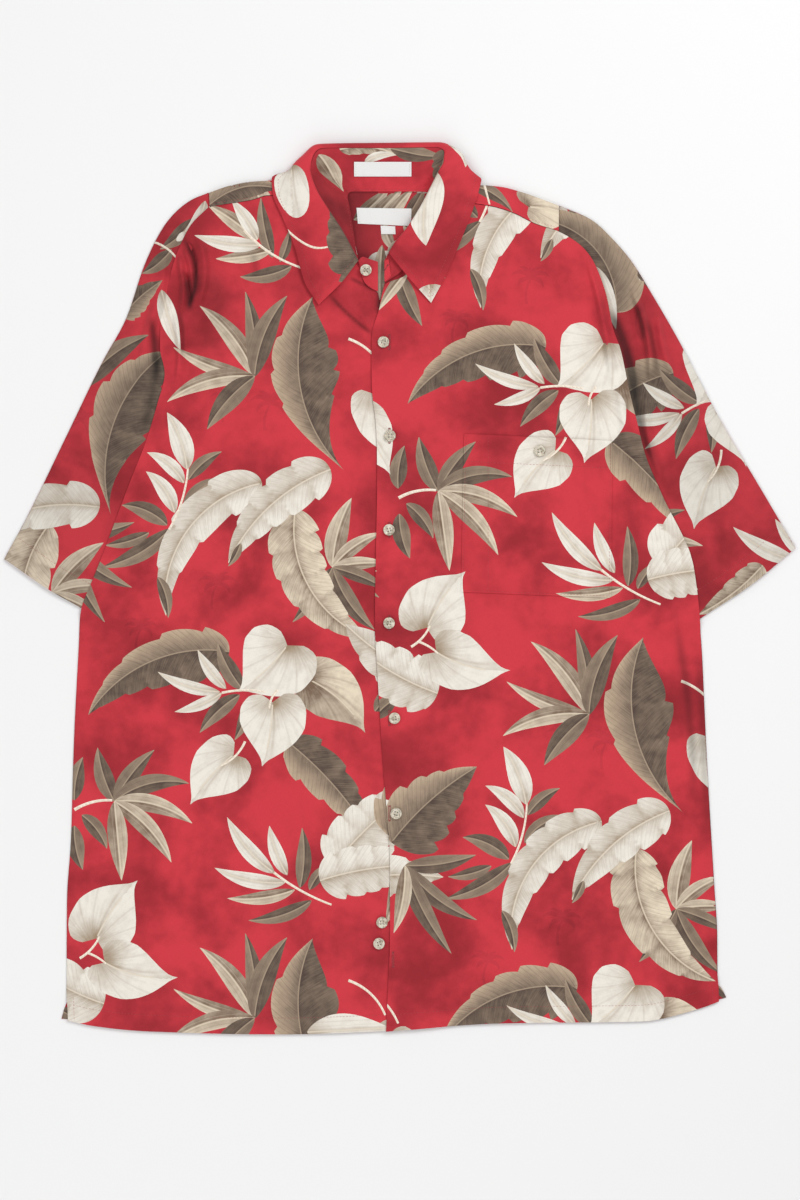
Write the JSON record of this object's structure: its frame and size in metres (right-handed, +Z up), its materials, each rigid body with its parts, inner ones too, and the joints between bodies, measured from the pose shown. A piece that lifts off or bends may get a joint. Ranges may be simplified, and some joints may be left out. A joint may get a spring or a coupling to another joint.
{
  "type": "short-sleeved shirt laid flat",
  "caption": "Short-sleeved button-front shirt with a pointed collar and chest pocket, lying flat on its back with its sleeves spread.",
  "frame": {"origin": "middle of the outline on the surface that the shirt lies on", "axes": "+Z up from the surface, out of the shirt's front; +Y from the hem to the collar; +X to the wearer's left sleeve"},
  "size_m": [0.7509, 0.8464, 0.0166],
  "materials": {
    "cloth": "soft woven rayon, red with a leaf print",
    "button": "moulded, mottled grey horn effect",
    "label": "woven white tape, bare"
  },
  "bodies": {
    "root": {"back": "cloth", "yoke": "cloth", "front_right": "cloth", "front_left": "cloth", "sleeve_right": "cloth", "sleeve_left": "cloth", "collar_stand": "cloth", "collar_fall": "cloth", "pocket": "cloth", "button_1": "button", "button_2": "button", "button_3": "button", "button_4": "button", "button_5": "button", "button_6": "button", "button_7": "button", "button_8": "button", "button_stand": "button", "button_pocket": "button", "label_neck": "label", "label_size": "label", "label_care": "label"}
  },
  "joints": []
}
